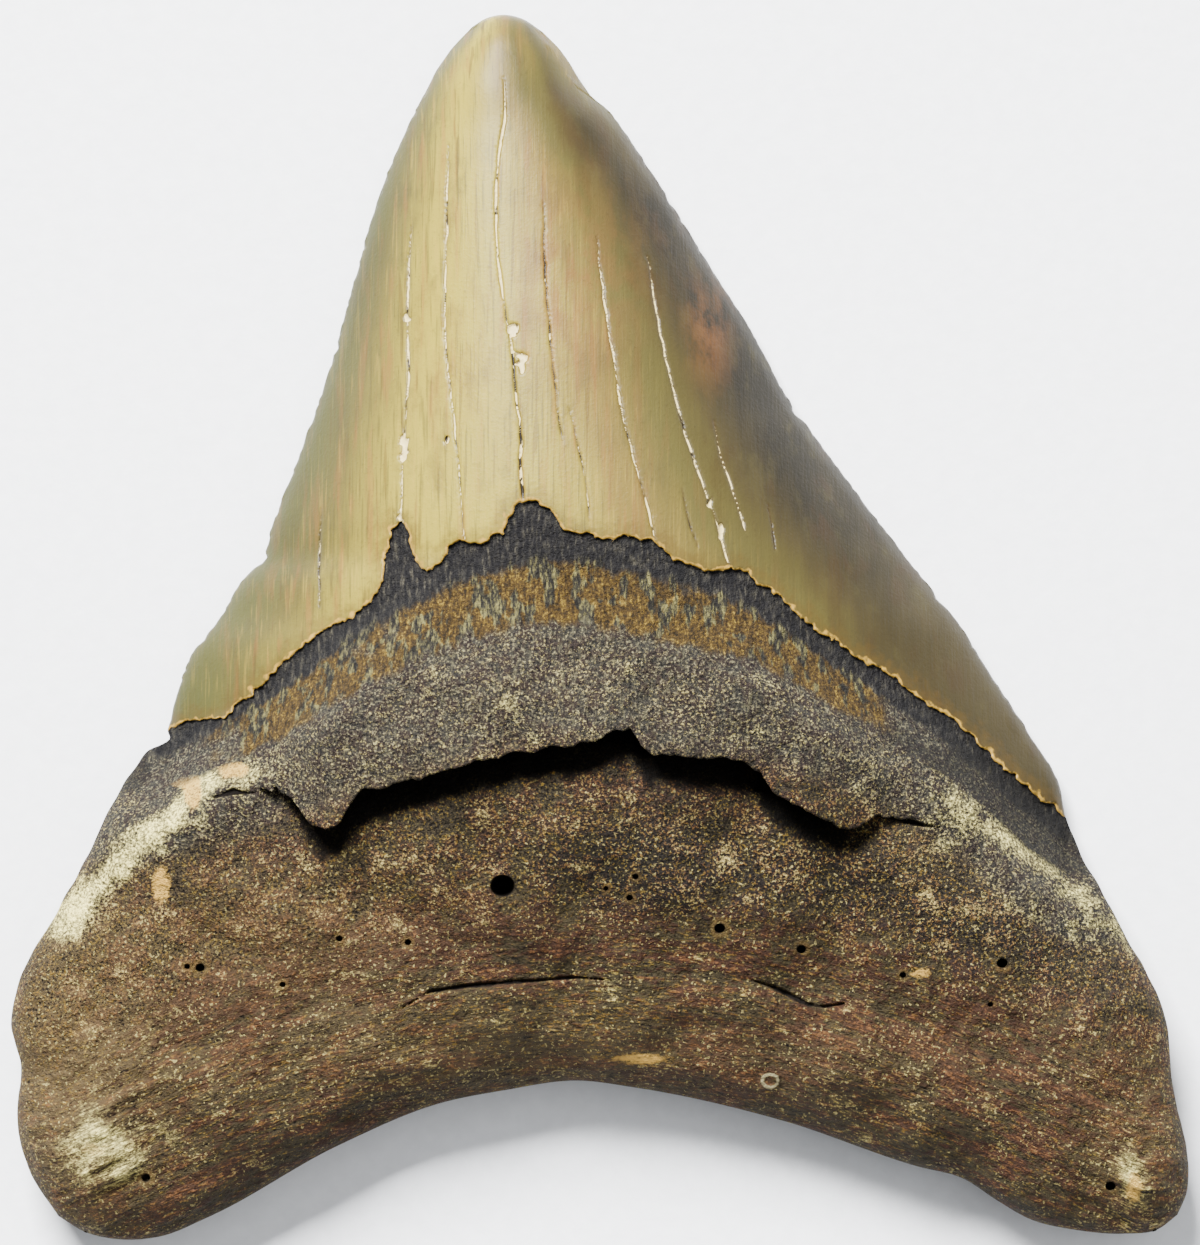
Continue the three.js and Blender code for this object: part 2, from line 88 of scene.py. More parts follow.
ENAMEL_BACK = [(-36.8, -8.9), (-28, -8.6), (-16, -5.4), (-4, -3.4), (10, -5.4), (24, -10.4),
               (34, -14.8), (39.6, -16.2)]

# The broken lip of the ledge with its two tabs, and the line that carries it on to the sides
LIP = [(-30, -13.9), (-27, -14.1), (-26, -14.7), (-24.2, -16.8), (-23, -17.1), (-21.8, -16.4),
       (-21, -15), (-20, -14.1), (-15, -12.9), (-12, -12), (-9, -11.1), (-3, -10.2), (0, -9.5),
       (1.2, -9), (2.6, -8.9), (3.4, -10.2), (4.4, -11), (10, -11.1), (12, -11.7), (13.5, -12.8),
       (14.5, -14.4), (18, -16), (20, -16.9), (21, -17.1), (22.3, -16.6), (23.5, -16.1), (28, -17)]
LIP_ROW = [(-43.5, -19.4), (-30, -14.6), (-16, -12.8), (-2, -10.4), (12, -12.2), (28, -17),
           (42.6, -22.3)]
LEDGE_START, LEDGE_FULL, LEDGE_FADE, LEDGE_END = -30, -22, 15, 28

# How far the middle of the crown stands over its edges, from root to tip
CROWN_RISE = [(-20, 14), (0, 13.6), (8, 13), (20, 10.8), (32, 8), (42, 5.4), (48, 3.6), (51, 2),
              (52.1, 0.8)]

# The growth layers of the root follow this line
LAYER = [(-46, -42), (-30, -35.2), (-17, -31.6), (-3, -29.8), (12, -30.6), (20, -32.3), (34, -37),
         (46, -42)]
LAYER_STEP = 0.35

# Slits that opened between growth layers and beside the tabs: widest opening and points
SLITS = [(0.26, [(-17.6, -32.8), (-14.4, -30.9), (-12, -30.5), (-8, -30.1), (-2, -29.7), (1, -29.9)]),
         (0.36, [(12.8, -29.9), (14.6, -30.5), (16.2, -31.3), (17.6, -32), (19, -32.2), (20.6, -31.9)]),
         (0.5, [(12.6, -15.3), (14, -14.6), (15.4, -14.9)]),
         (0.4, [(22.5, -16.8), (25, -16.6), (28.6, -17)]),
         (0.4, [(-33, -14.6), (-31, -14), (-29, -14.2)])]
SLIT_DEPTH = 0.5

# Worn serrations of the cutting edges, and nicks in the rim: place and depth
SERRATION = 0.1
NICKS = [(-0.6, 45.1, 0.35), (16.6, 18.1, 0.4), (-28.9, 5.6, 0.5), (-37.2, -9.6, 0.5),
         (6.1, 36, 0.2), (28.9, 2.2, 0.25), (-22.4, 23.6, 0.25), (-34, -1.2, 0.3)]
NICK_WIDTH = 0.45
NICK_REACH = 6  # keeps a nick off the other side of the tooth

# Cracks that run down the enamel: the widest opening, how much of it is filled with white,
# and points from above
CRACKS = [
    (0.22, 0.85, [(-8.1, 46.5), (-8.1, 43.1), (-8.5, 40.5), (-8.8, 36), (-8.6, 31), (-8.1, 27.4)]),
    (0.26, 0.5, [(-8.2, 28.6), (-8, 26.8), (-7.5, 24), (-7.1, 20), (-6.7, 16), (-6.7, 13.5),
                 (-6.5, 10.6)]),
    (0.15, 0.7, [(-12.8, 41), (-12.9, 37), (-13, 31), (-13.1, 26), (-12.6, 19.5), (-12, 14.5),
                 (-11.6, 10), (-11.4, 7.2)]),
    (0.16, 0.75, [(-16, 34), (-16.3, 26.8), (-16.2, 21), (-16.6, 15.5), (-16.7, 12.5), (-16.8, 9)]),
    (0.16, 0.3, [(-4.8, 36), (-4.6, 29), (-4.2, 24.5), (-3.7, 19.2), (-3.2, 15.6)]),
    (0.17, 0.4, [(-2.6, 18.4), (-1.9, 15.4), (-1.2, 12), (-0.9, 8.8)]),
    (0.16, 0.8, [(-0.3, 33), (0.2, 28.6), (0.9, 24.2), (1.7, 19), (2.7, 14.6), (3.9, 10.2), (4.6, 7.4)]),
    (0.18, 0.9, [(4, 31.5), (5, 25.4), (6.3, 19.4), (8, 13.8), (9.6, 9.4), (10.9, 5.1)]),
    (0.13, 0.9, [(9.6, 17.4), (10.4, 13.8), (11.6, 10.2), (12.2, 8)]),
    (0.16, 0.2, [(14.2, 10.4), (14.5, 8.4), (14.8, 6.4)]),
    (0.14, 0.1, [(6.9, 11.7), (7.4, 9.2), (8.2, 6.6)]),
    (0.14, 0.4, [(-23.7, 10), (-23.8, 6), (-23.7, 1.5)]),
]
CRACK_DEPTH = 0.28

# White chips beside the cracks: place and radius
CHIPS = [(-7.3, 25.0, 0.45), (-6.7, 22.3, 0.55), (-6.5, 21.7, 0.4), (-16.4, 26, 0.3),
         (-16.6, 15.4, 0.45), (-16.6, 14.4, 0.4), (-12.9, 15.8, 0.3), (9.3, 10.2, 0.3),
         (10.2, 8, 0.35), (-16.9, 9.2, 0.4)]

# Pores of the root: place, radius and depth
PORES = [(-8.2, -21.9, 0.95, 2.6), (10.1, -25.5, 0.42, 1.6), (17, -27.3, 0.36, 1.4),
         (34, -28.5, 0.42, 1.5), (25.6, -29.5, 0.26, 1.0), (2.5, -22.9, 0.26, 1.0),
         (3, -21.1, 0.24, 0.8), (0.5, -22.1, 0.2, 0.7), (-33.8, -28.9, 0.36, 1.2),
         (-34.9, -28.8, 0.22, 0.8), (-22, -26.4, 0.26, 0.9), (-16.2, -26.7, 0.26, 0.9),
         (-26.8, -30.3, 0.24, 0.8), (43.2, -47.4, 0.4, 1.2), (33, -32, 0.22, 0.7),
         (-38.4, -46.7, 0.36, 0.8)]

SHELL = (14.4, -38.5, 0.66)  # the ring of a small shell: place and radius

# The size of the mesh's facets: the smallest next to the details and the lip, the least distance
# in the plane, how often an edge is halved, how fast the facets grow, and the most they reach
NEAR_SIZE = 0.25
LIP_SIZE = 0.4
LEAST_SIZE = 0.02
HALVINGS = 10
GROWTH = 0.75
FAR_CROWN = 1.2
FAR_ROOT = 0.95
FAR_UNDER = 1.8


def smooth(a, b, x):
    t = np.clip((x - a) / (b - a), 0, 1)
    return t * t * (3 - 2 * t)


def mix(a, b, t):
    return a + (b - a) * t


def bell(x, y, place):
    cx, cy, wide, tall = place
    return np.exp(-(((x - cx) / wide) ** 2) - ((y - cy) / tall) ** 2)


def through(pairs):
    """A smooth function through (position, value) pairs."""
    at = np.array([p[0] for p in pairs], float)
    value = np.array([p[1] for p in pairs], float)
    gap = np.diff(at)
    rise = np.diff(value) / gap
    slope = np.empty(len(at))
    slope[0] = rise[0]
    slope[-1] = rise[-1]
    slope[1:-1] = (rise[:-1] * gap[1:] + rise[1:] * gap[:-1]) / (gap[:-1] + gap[1:])

    def evaluate(s):
        s = np.clip(np.asarray(s, float), at[0], at[-1])
        i = np.clip(np.searchsorted(at, s, side="right") - 1, 0, len(gap) - 1)
        h = gap[i]
        t = (s - at[i]) / h
        return (value[i] * (1 + 2 * t) * (1 - t) ** 2 + slope[i] * h * t * (1 - t) ** 2
                + value[i + 1] * t * t * (3 - 2 * t) + slope[i + 1] * h * t * t * (t - 1))

    return evaluate


def joined(pairs):
    """A straight-edged function through (position, value) pairs."""
    at = [p[0] for p in pairs]
    value = [p[1] for p in pairs]
    return lambda s: np.interp(s, at, value)


def curve(points):
    """A smooth curve through points in the plane, as a function of t from 0 to 1."""
    points = np.array(points, float)
    along = np.concatenate([[0], np.cumsum(np.hypot(*np.diff(points, axis=0).T))])
    along /= along[-1]
    x = through(list(zip(along, points[:, 0])))
    y = through(list(zip(along, points[:, 1])))
    return lambda t: np.stack([x(t), y(t)], axis=-1)


def to_segments(x, y, points):
    """Distance from each (x, y) to a line of straight stretches."""
    points = np.array(points, float)
    start = points[:-1]
    step = points[1:] - start
    length2 = np.maximum((step ** 2).sum(axis=1), 1e-12)
    nearest = np.empty(len(x))
    for at in range(0, len(x), 20000):
        part = slice(at, at + 20000)
        dx = x[part, None] - start[:, 0]
        dy = y[part, None] - start[:, 1]
        t = np.clip((dx * step[:, 0] + dy * step[:, 1]) / length2, 0, 1)
        nearest[part] = np.sqrt(((dx - t * step[:, 0]) ** 2 + (dy - t * step[:, 1]) ** 2).min(axis=1))
    return nearest


def noise(x, y, size, seed):
    """Smooth noise from about -1 to 1 whose lumps have that size, or (wide, tall)."""
    wide, tall = size if isinstance(size, tuple) else (size, size)
    table = np.random.default_rng(seed).uniform(-1, 1, (256, 256))
    gx = x / wide + 0.37 * seed
    gy = y / tall - 0.59 * seed
    ix = np.floor(gx).astype(int)
    iy = np.floor(gy).astype(int)
    fx = gx - ix
    fy = gy - iy
    fx = fx * fx * (3 - 2 * fx)
    fy = fy * fy * (3 - 2 * fy)
    low = mix(table[ix % 256, iy % 256], table[(ix + 1) % 256, iy % 256], fx)
    high = mix(table[ix % 256, (iy + 1) % 256], table[(ix + 1) % 256, (iy + 1) % 256], fx)
    return mix(low, high, fy)


def fractal(x, y, size, seed, octaves=3):
    """Noise with finer noise on it."""
    wide, tall = size if isinstance(size, tuple) else (size, size)
    return sum(noise(x, y, (wide / 2 ** k, tall / 2 ** k), seed + k) / 2 ** k for k in range(octaves))


# The form of the tooth, as two heights over each point of the plane
enamel_end = joined(ENAMEL_END)
enamel_row = through(ENAMEL_ROW)
enamel_back = through(ENAMEL_BACK)
lip = joined(LIP)
layer = through(LAYER)
crown_rise = through(CROWN_RISE)
crown_left = through([(y, x) for x, y in LEFT_CROWN])
crown_right = through([(y, x) for x, y in RIGHT_CROWN])
SIDES = [LEFT_ROOT, LEFT_COLLAR, LEFT_CROWN, TIP, RIGHT_CROWN[::-1], RIGHT_COLLAR[::-1],
         RIGHT_ROOT[::-1], BASE[::-1]]
outline = np.concatenate([curve(side)(np.linspace(0, 1, 60)) for side in SIDES])


def rounded(d, radius):
    """A quarter circle: 0 at the rim, 1 from the radius inwards."""
    return np.sqrt(1 - (1 - np.clip(d / radius, 0, 1)) ** 2)


def across(x, y):
    left = crown_left(y)
    right = crown_right(y)
    return np.clip((2 * x - left - right) / (right - left), -1, 1)


def root_share(x, y):
    return smooth(0, -COLLAR, y - enamel_row(x))


def ledge_share(x):
    return smooth(LEDGE_START, LEDGE_FULL, x) * smooth(LEDGE_END, LEDGE_FADE, x)


def lumps(x, y):
    return (0.32 * np.sin(0.33 * x + 0.8) * np.sin(0.29 * y - 0.5) + 0.2 * np.sin(0.62 * x - 0.21 * y)
            + 0.16 * np.sin(0.7 * y + 0.3 * x + 1.9))


def edge_height(x, y):
    return mix(CROWN_EDGE_Z, ROOT_EDGE_Z, root_share(x, y))


def over_enamel_end(x, y):
    """Distance past the chipped end of the enamel, above 0 on the enamel."""
    side = np.where(y > enamel_end(x), 1.0, -1.0)
    chips = 0.22 * fractal(x, y, 0.9, 11) + 0.12 * noise(x, y, 0.35, 17)
    return side * to_segments(x, y, [(-60, -8.9)] + ENAMEL_END + [(60, -16.2)]) + chips


def over_lip(x, y):
    """Distance above the crumbled edge of the ledge's lip, below 0 in front of it."""
    return y - lip(x) + 0.3 * fractal(x, y * 0.3, 1.6, 23, 4)


def into_crack(x, y):
    """How far inside the nearest crack, below 0 outside, and how white it is there."""
    inside = np.full(len(x), -9.0)
    white = np.zeros(len(x))
    for number, (wide, filled, line) in enumerate(CRACKS):
        down = sorted((py, px) for px, py in line)
        low = down[0][0]
        high = down[-1][0]
        flat = y * 0
        drift = 0.07 * noise(y, flat, 1.1, 40 + number)
        jitter = 0.03 * noise(y, flat, 0.4, 60 + number)
        middle = through(down)(y) + drift + jitter
        ends = smooth(low - 0.3, low + 0.8, y) * smooth(high + 0.3, high - 5, y)
        beat = 0.62 + 0.5 * noise(y, flat, 1.9, 80 + number)
        beyond = np.maximum(0, np.maximum(low - y, y - high))
        here = wide / 2 * np.clip(beat, 0.22, 1) * ends - np.abs(x - middle) - beyond
        white = np.where(here > inside, filled, white)
        inside = np.maximum(inside, here)
    for cx, cy, radius in CHIPS:
        here = 0.7 * radius * (1 + 1.1 * noise(x, y, 0.35, 97)) - np.hypot(x - cx, 0.55 * (y - cy))
        white = np.where(here > inside, 1.0, white)
        inside = np.maximum(inside, here)
    return inside, white


def pore_depth(x, y):
    depth = np.zeros(len(x))
    for px, py, radius, deep in PORES:
        r = np.hypot(x - px, (y - py) * 1.1)
        lip_round = 0.1 * deep * smooth(2, 1.2, r / radius)
        depth = np.maximum(depth, deep * smooth(1.2 * radius, 0.75 * radius, r) - lip_round)
    return depth


def into_slit(x, y):
    """How far inside the nearest slit, below 0 outside. Slits close at both ends."""
    wobble = 0.1 * fractal(x, y, 0.9, 131)
    inside = np.full(len(x), -9.0)
    for wide, line in SLITS:
        length = np.hypot(line[-1][0] - line[0][0], line[-1][1] - line[0][1])
        from_end = np.minimum(*(np.hypot(x - px, y - py) for px, py in (line[0], line[-1])))
        open_here = wide * smooth(-0.1 * length, 0.45 * length, from_end) + wobble
        inside = np.maximum(inside, open_here / 2 - to_segments(x, y, line))
    return inside


def ring(x, y):
    """A small shell grown on the root: 1 on the crest of its ring."""
    px, py, radius = SHELL
    return np.exp(-((np.hypot(x - px, 1.2 * (y - py)) - radius) / 0.24) ** 2)


def rough(x, y):
    """The root's grain: crumbly above, in thin layers that follow its base below."""
    low = smooth(4, -6, y - layer(x))
    grains = 0.2 * fractal(x, y, (1.3, 1.9), 31, 4)
    layers = 0.24 * fractal(x, y - layer(x), (6, 1.1), 37, 4)
    return mix(grains, layers + 0.6 * grains, low) + 0.25 * fractal(x, y, 5, 43, 3)


def top_height(x, y):
    d = to_segments(x, y, outline)
    share = root_share(x, y)
    crown = CUTTING_EDGE + crown_rise(y) * (1 - np.abs(across(x, y)) ** 2.3)
    root = (ROOT_TOP + BOSS_RISE * bell(x, y, BOSS) - ROOT_EDGE_Z + lumps(x, y)
            + LAYER_STEP * (smooth(0.4, -0.4, y - layer(x)) - smooth(-1, -9, y - layer(x))))
    to_lip = over_lip(x, y)
    crust = CRUST * smooth(-0.2, 0.2, to_lip) * share
    trench = TRENCH * smooth(-3.6, -1.4, to_lip) * smooth(0.2, -0.2, to_lip)
    past = over_enamel_end(x, y)
    step = ENAMEL * smooth(-0.14, 0.14, past)
    body = mix(crown * rounded(d, CROWN_ROUND), root * rounded(d, ROOT_ROUND_TOP), share)
    crack, _ = into_crack(x, y)
    inner = smooth(0, 1.2, d)
    on_root = smooth(-3.5, -6.5, y - enamel_row(x))
    ripples = 0.04 * noise(x, y, (2.6, 24), 53) * smooth(-0.1, 0.3, past)
    threads = 0.05 * noise(x, y, (0.45, 5), 59) * smooth(0.1, -0.3, past) * (1 - on_root)
    slit = SLIT_DEPTH * smooth(-0.15, 0.1, into_slit(x, y))
    relief = ripples + threads + rough(x, y) * on_root - pore_depth(x, y) - slit + 0.2 * ring(x, y)
    groove = CRACK_DEPTH * smooth(-0.1, 0.12, crack) * smooth(-0.5, 0.3, past)
    return (edge_height(x, y) + body + (crust - trench) * ledge_share(x)
            + (step - ENAMEL) * rounded(d, 2 * CROWN_ROUND) + inner * (relief - groove))


def under_height(x, y):
    d = to_segments(x, y, outline)
    share = root_share(x, y)
    edge = edge_height(x, y)
    floor = HOLLOW + 0.3 * lumps(x, y) + 0.5 * rough(x + 70, y) * share
    floor = floor - sum(deep * bell(x, y, place) for place, deep in CONTACTS)
    crown = mix(floor, edge - CUTTING_EDGE, np.abs(across(x, y)) ** 3)
    past = y - enamel_back(x) + 0.3 * fractal(x, y, 1.4, 71)
    free = mix(crown, floor, share) + BACK_STEP * smooth(0.15, -0.15, past)
    return mix(edge, np.maximum(0, free), rounded(d, mix(CROWN_ROUND, ROOT_ROUND_UNDER, share)))


def patch(bottom, top, left, right):
    """A patch of the plane between four edge curves."""
    def evaluate(u, v):
        u1 = u[:, None]
        v1 = v[:, None]
        zero = np.zeros(1)
        one = np.ones(1)
        corners = mix(mix(bottom(zero), bottom(one), u1), mix(top(zero), top(one), u1), v1)
        return mix(bottom(u), top(u), v1) + mix(left(v), right(v), u1) - corners
    return evaluate


BANDS = [
    patch(curve(BASE), curve(LIP_ROW), curve(LEFT_ROOT), curve(RIGHT_ROOT)),
    patch(curve(LIP_ROW), curve(ENAMEL_ROW), curve(LEFT_COLLAR), curve(RIGHT_COLLAR)),
    patch(curve(ENAMEL_ROW), curve(TIP), curve(LEFT_CROWN), curve(RIGHT_CROWN)),
]
RIM, FRONT, BACK = 0, 1, 2
COLUMNS = 40
ROWS = [16, 6, 28]


def plan(u, v):
    """Where in the plane the row v, 0 at the base and 3 at the tip, is at u."""
    band = np.minimum(v.astype(int), len(BANDS) - 1)
    place = np.empty((len(u), 2))
    for number, evaluate in enumerate(BANDS):
        here = band == number
        if here.any():
            place[here] = evaluate(u[here], v[here] - number)
    # The cutting edges keep worn serrations and a few nicks, and the root's rim is a little uneven
    x, y = place.T
    outwards = np.sign(u - 0.5)
    at_side = smooth(0.03, 0, np.minimum(u, 1 - u))
    uneven = 0.1 * noise(y, outwards, 1.4, 101) - 0.05
    worn = mix(uneven, SERRATION * noise(y, outwards, 0.42, 103), smooth(1.9, 2.1, v))
    nicks = sum(deep * np.exp(-((y - ny) / NICK_WIDTH) ** 2) * (np.abs(x - nx) < NICK_REACH)
                for nx, ny, deep in NICKS)
    x += outwards * at_side * (worn * smooth(3, 2.85, v) - nicks)
    return place


def surface(u, v, side):
    """Points of the tooth in space."""
    x, y = plan(u, v).T
    z = edge_height(x, y)
    front = side == FRONT
    back = side == BACK
    shift = np.zeros(len(x))
    if front.any():
        fx, fy = x[front], y[front]
        z[front] = top_height(fx, fy)
        # The wall below the lip and the floor before it are pushed back under the ledge
        to_lip = over_lip(fx, fy)
        before = smooth(-4.5, -0.2, to_lip) * smooth(0.12, 0.0, to_lip)
        shift[front] = CREVICE_DEPTH * ledge_share(fx) * before
    if back.any():
        z[back] = under_height(x[back], y[back])
    return np.stack([x, y + shift, z], axis=-1)


def sheets():
    """Two sheets of squares, cut into triangles and joined along the rim."""
    rows = np.concatenate([band + np.arange(n) / n for band, n in enumerate(ROWS)] + [[len(ROWS)]])
    last = len(rows) - 1
    u, v, side, faces, face_side = [], [], [], [], []
    rim = {}
    for sheet in (FRONT, BACK):
        index = np.empty((last + 1, COLUMNS + 1), int)
        for j in range(last + 1):
            for i in range(COLUMNS + 1):
                on_rim = i in (0, COLUMNS) or j in (0, last)
                if on_rim and (i, j) in rim:
                    index[j, i] = rim[i, j]
                    continue
                index[j, i] = len(u)
                u.append(i / COLUMNS)
                v.append(rows[j])
                side.append(RIM if on_rim else sheet)
                if on_rim:
                    rim[i, j] = index[j, i]
        for j in range(last):
            for i in range(COLUMNS):
                corners = [index[j, i], index[j, i + 1], index[j + 1, i + 1], index[j + 1, i]]
                if (i < COLUMNS / 2) != (j < last / 2):
                    corners = corners[1:] + corners[:1]
                a, b, c, d = corners
                pair = [(a, b, c), (a, c, d)]
                faces += pair if sheet == FRONT else [face[::-1] for face in pair]
                face_side += [sheet] * 2
    return np.array(u), np.array(v), np.array(side), np.array(faces), np.array(face_side)


def refined(u, v, side, faces, face_side, wanted):
    """Halves the long edges until each is as short as its place asks.

    A facet is always cut across its longest edge first, which keeps the facets well shaped.
    """
    points = surface(u, v, side)
    for _ in range(HALVINGS):
        ends = np.stack([faces, np.roll(faces, -1, axis=1)], axis=-1)
        low = ends.min(axis=-1)
        high = ends.max(axis=-1)
        key = low * len(points) + high
        edges, where = np.unique(key.ravel(), return_inverse=True)
        where = where.reshape(key.shape)
        a = edges // len(points)
        b = edges % len(points)
        length = np.linalg.norm(points[a] - points[b], axis=1)
        of_face = np.zeros(len(edges), int)
        of_face[where.ravel()] = np.repeat(face_side, 3)
        apart = np.hypot(*(plan(u[a], v[a]) - plan(u[b], v[b])).T)
        split = (length > wanted((points[a] + points[b]) / 2, of_face)) & (apart > LEAST_SIZE)
        if not split.any():
            break
        longest = (length[where] + 1e-9 * where).argmax(axis=1)
        main = where[np.arange(len(faces)), longest]
        while True:
            more = split[where].any(axis=1) & ~split[main]
            if not more.any():
                break
            split[main[more]] = True
        # The middles of the edges that are halved
        number = np.full(len(edges), -1)
        number[split] = len(points) + np.arange(split.sum())
        sa, sb = a[split], b[split]
        new_side = np.where((side[sa] == RIM) & (side[sb] == RIM), RIM, of_face[split])
        new_u = (u[sa] + u[sb]) / 2
        new_v = (v[sa] + v[sb]) / 2
        points = np.concatenate([points, surface(new_u, new_v, new_side)])
        u = np.concatenate([u, new_u])
        v = np.concatenate([v, new_v])
        side = np.concatenate([side, new_side])
        # Each facet turned so that its longest edge comes first
        rows = np.arange(len(faces))[:, None]
        turn = (longest[:, None] + np.arange(3)) % 3
        fa, fb, fc = faces[rows, turn].T
        m, p, q = number[where[rows, turn]].T
        made = []
        made_side = []
        for keep, triangles in (
            (m < 0, [(fa, fb, fc)]),
            ((m >= 0) & (p < 0), [(m, fb, fc)]),
            ((m >= 0) & (p >= 0), [(m, fb, p), (m, p, fc)]),
            ((m >= 0) & (q < 0), [(fa, m, fc)]),
            ((m >= 0) & (q >= 0), [(fa, m, q), (q, m, fc)]),
        ):
            for triangle in triangles:
                made.append(np.stack([corner[keep] for corner in triangle], axis=-1))
                made_side.append(face_side[keep])
        faces = np.concatenate(made)
        face_side = np.concatenate(made_side)
    return u, v, side, points, faces


def wanted_size(middle, side):
    """The longest edge wanted at a place: small near the enamel's end, cracks, lip and pores."""
    x, y = middle[:, 0], middle[:, 1]
    near = to_segments(x, y, ENAMEL_END)
    crack, _ = into_crack(x, y)
    near = np.minimum(near, np.maximum(0.2 - crack, np.maximum(0, enamel_end(x) - y)))
    near = np.minimum(near, 0.5 + 40 * (1 - np.abs(across(x, y))))
    near = np.minimum(near, 0.3 - into_slit(x, y))
    for px, py, radius, _ in PORES:
        near = np.minimum(near, np.maximum(0, np.hypot(x - px, y - py) - 1.3 * radius))
    near = np.minimum(near, np.hypot(x - SHELL[0], y - SHELL[1]) - SHELL[2])
    far = mix(FAR_CROWN, FAR_ROOT, smooth(-2, -5, y - enamel_row(x)))
    front = np.minimum(far, NEAR_SIZE + GROWTH * np.maximum(0, near - 0.3))
    ledge = (x > LEDGE_START) & (x < LEDGE_END)
    from_lip = np.where(ledge, np.abs(y - lip(x)), 99)
    front = np.minimum(front, LIP_SIZE + GROWTH * np.maximum(0, from_lip - 0.4))
    return np.where(side == BACK, FAR_UNDER, front)


u, v, side, points, faces = refined(*sheets(), wanted_size)
print("tooth:", len(points), "points,", len(faces), "triangles")

mesh = bpy.data.meshes.new("tooth_surface")
mesh.from_pydata((points * MM).tolist(), [], faces.tolist())
mesh.polygons.foreach_set("use_smooth", np.ones(len(faces), bool))
mesh.update()
tooth = bpy.data.objects.new("tooth_surface", mesh)
bpy.context.scene.collection.objects.link(tooth)

# Colour zones and zones of painted light: x, y, wide, tall and how strong. The streaks have points, a
# width and how strong.
DARK_ZONES = [(4, -20, 13, 5.5, 1.0), (34, -23, 10, 8, 1.1), (-40.5, -16.5, 2.2, 3.4, 1.0),
              (-47.5, -27, 2.2, 6, 0.6), (44, -31, 4, 6, 0.4), (-20, -20, 9, 4, 0.5),
              (20, -21, 8, 5, 0.6), (36, -14.5, 3, 4, 0.8), (41, -20, 2, 3, 0.8),
              (27, -11, 7, 3.5, 0.9), (15, -8, 6, 3, 0.5)]
PALE_ZONES = [(-42, -44.5, 4.5, 3.4, 0.6), (45, -47.5, 1.8, 3, 0.55), (-31, -12.4, 3, 1.2, 0.6),
              (-45.5, -24.6, 3, 2.2, 0.45), (33, -17, 5, 3, 0.25)]
RUST_ZONES = [(-3, 29, 5, 7, 0.9), (9.2, 25, 1.6, 4, 0.9), (-12, 22, 3, 9, 0.4),
              (8, -13.5, 9, 1.6, 0.9), (-14, -27, 12, 3.4, 0.6), (-32, -33, 9, 5, 0.5),
              (8, -38, 9, 3, 0.5), (32, -38, 9, 6, 0.5), (-26, -18, 4, 2, 0.7),
              (12, -34, 9, 3, 0.5)]
OCHRE_ZONES = [(-2, -33, 16, 3, 0.7), (-30, -38, 10, 4, 0.45), (26, -42, 10, 3, 0.4),
               (-46, -36, 4, 8, 0.5), (4, -36.8, 4, 0.7, 1.0), (27, -29.5, 1.6, 0.8, 0.6)]
# Zones of painted light, where the root is made paler as if lit more, most on the left lobe that faces
# the light
PAINTED_LIGHT_ZONES = [(-45, -38, 8, 14, 1.0), (-27, -26, 14, 7, 0.6), (-24, -11.5, 8, 2.5, 1.0),
                (-4, -6, 12, 3, 0.4), (34, -18, 8, 4, 0.4), (45, -44, 5, 8, 0.5),
                (-2, -36.5, 34, 4, 0.5)]
PALE_STREAKS = [([(-33.5, -13.6), (-38.1, -17.5), (-41.5, -20.9), (-45.5, -25)], 1.3, 0.85),
                ([(29, -13), (36.5, -18), (43, -26)], 1.5, 0.4)]
DARK_STREAKS = [([(-39.5, -12.5), (-42.3, -17), (-44.8, -21.6)], 1.3, 1.2),
                ([(31, -12), (37, -17), (42, -22)], 1.0, 0.8)]
CREAM_SPOTS = [(-36, -12.7, 1.7, 0.9, 1.2), (-34.4, -14.2, 0.8, 1.4, 1.2),
               (-31, -12.2, 1.6, 0.8, 1.1), (-37.1, -21.9, 0.9, 1.7, 1.1),
               (13.4, -14.2, 1.3, 0.6, 0.9), (-42.6, -44, 2.2, 1.6, 0.5),
               (45.2, -47.6, 1.0, 2.0, 0.8), (27, -29.3, 1.2, 0.6, 0.8),
               (3.6, -36.6, 3.2, 0.6, 0.9)]

# How dark the crown is at each place across it, from its left edge to its right one: partly its own
# colour and partly painted shade, darkest on the right flank, which turns away from the light
CROWN_TONE_AND_SHADE = [(-1, 0.5), (-0.93, 0.42), (-0.8, 0.2), (-0.6, 0.06), (-0.4, 0), (-0.2, 0.04),
              (0, 0.12), (0.2, 0.28), (0.4, 0.5), (0.6, 0.72), (0.8, 0.98), (1, 0.95)]


def zones(x, y, places):
    return sum(amount * bell(x, y, place) for *place, amount in places)


def streaks(x, y, places):
    return sum(amount * np.exp(-(to_segments(x, y, line) / width) ** 2)
               for line, width, amount in places)


x, y = plan(u, v).T
front = points[:, 2] >= edge_height(x, y) - 0.01
on_front = front.astype(float)
w = across(x, y)
crack, white = into_crack(x, y)
to_lip = over_lip(x, y)
near_tip = smooth(34, 46, y)
at_tip = smooth(41, 49, y)
low_crown = smooth(12, 0, y)
